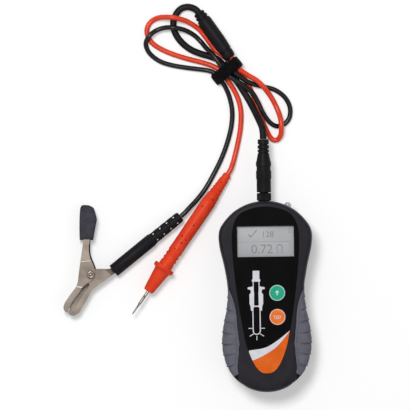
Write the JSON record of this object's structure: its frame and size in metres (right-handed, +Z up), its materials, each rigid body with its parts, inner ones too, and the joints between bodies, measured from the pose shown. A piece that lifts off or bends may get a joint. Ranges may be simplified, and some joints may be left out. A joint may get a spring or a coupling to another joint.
{
  "type": "glow plug tester",
  "caption": "Hand-held glow plug resistance tester with display, push keys, rubber side grips, plug-in cable, strapped leads, crocodile clip and pointed test probe.",
  "frame": {"origin": "middle of the case's underside, on the surface that it rests on", "axes": "+X to the right of the face, +Y along the case to its cable end, +Z up out of the face"},
  "size_m": [0.1827, 0.2856, 0.0317],
  "materials": {
    "case_plastic": "satin",
    "grip_rubber": "matt",
    "label_gloss": "gloss",
    "window_clear": "gloss",
    "display_grey": "satin",
    "light_box_white": "matt",
    "board_green": "satin",
    "chip_black": "matt",
    "ceramic_white": "matt",
    "sounder_black": "satin",
    "key_green": "satin",
    "key_orange": "satin",
    "switch_dark": "matt",
    "plunger_grey": "satin",
    "battery_wrap": "satin",
    "contact_brass": "satin",
    "screw_steel": "zinc plated",
    "lamp_clear": "gloss",
    "plug_black": "satin",
    "cable_grey": "satin",
    "strap_black": "matt",
    "lead_red": "satin",
    "lead_black": "satin",
    "clip_nickel": "nickel plated",
    "spring_steel": "bright",
    "thumb_rubber": "matt",
    "sleeve_black": "satin",
    "probe_red": "satin",
    "needle_steel": "bright"
  },
  "bodies": {
    "tester": {"back_shell": "case_plastic", "front_shell": "case_plastic", "right_grip": "grip_rubber", "left_grip": "grip_rubber", "face_label": "label_gloss", "display_window": "window_clear", "lcd_glass": "display_grey", "lcd_light_box": "light_box_white", "circuit_board": "board_green", "processor_chip": "chip_black", "measuring_shunt": "ceramic_white", "buzzer": "sounder_black", "green_switch": "switch_dark", "orange_switch": "switch_dark", "battery": "battery_wrap", "battery_contacts": "contact_brass", "case_screws": "screw_steel", "board_screws": "screw_steel", "torch_led": "lamp_clear", "lead_socket": "plug_black", "socket_nut": "screw_steel", "socket_collar": "plug_black", "lead_plug": "plug_black", "plug_boot": "plug_black", "main_cable": "cable_grey", "lead_splitter": "sleeve_black", "bundle_strap": "strap_black", "red_lead_loops": "lead_red", "red_lead_tail": "lead_red", "black_lead_loops": "lead_black", "black_lead_tail": "lead_black", "clip_fixed_jaw": "clip_nickel", "clip_rivet": "clip_nickel", "clip_spring": "spring_steel", "clip_sleeve": "sleeve_black", "probe_handle": "probe_red", "probe_nose": "probe_red", "probe_needle": "needle_steel"},
    "green_key_cap": {"green_key": "key_green", "green_plunger": "plunger_grey"},
    "orange_key_cap": {"orange_key": "key_orange", "orange_plunger": "plunger_grey"},
    "battery_cover": {"battery_door": "case_plastic"},
    "clip_lever": {"clip_moving_jaw": "clip_nickel", "clip_thumb_grip": "thumb_rubber"}
  },
  "joints": [
    {"name": "green_key_press", "type": "slide", "parent": "tester", "child": "green_key_cap", "axis": [0, 0, -1], "range_m": [0, 0.0005], "stiffness_N_per_m": 1500, "springref_m": -0.0005},
    {"name": "orange_key_press", "type": "slide", "parent": "tester", "child": "orange_key_cap", "axis": [0, 0, -1], "range_m": [0, 0.0005], "stiffness_N_per_m": 1500, "springref_m": -0.0005},
    {"name": "battery_door_lift", "type": "slide", "parent": "tester", "child": "battery_cover", "axis": [0, 0, -1], "range_m": [0, 0.03]},
    {"name": "clip_jaw_hinge", "type": "hinge", "parent": "tester", "child": "clip_lever", "pos_m": [-0.1283, 0.0176, 0.0062], "axis": [0, 0, -1], "range_deg": [0, 42], "stiffness_Nm_per_rad": 0.15, "springref_deg": -34.38, "deforming": ["clip_spring"]}
  ]
}
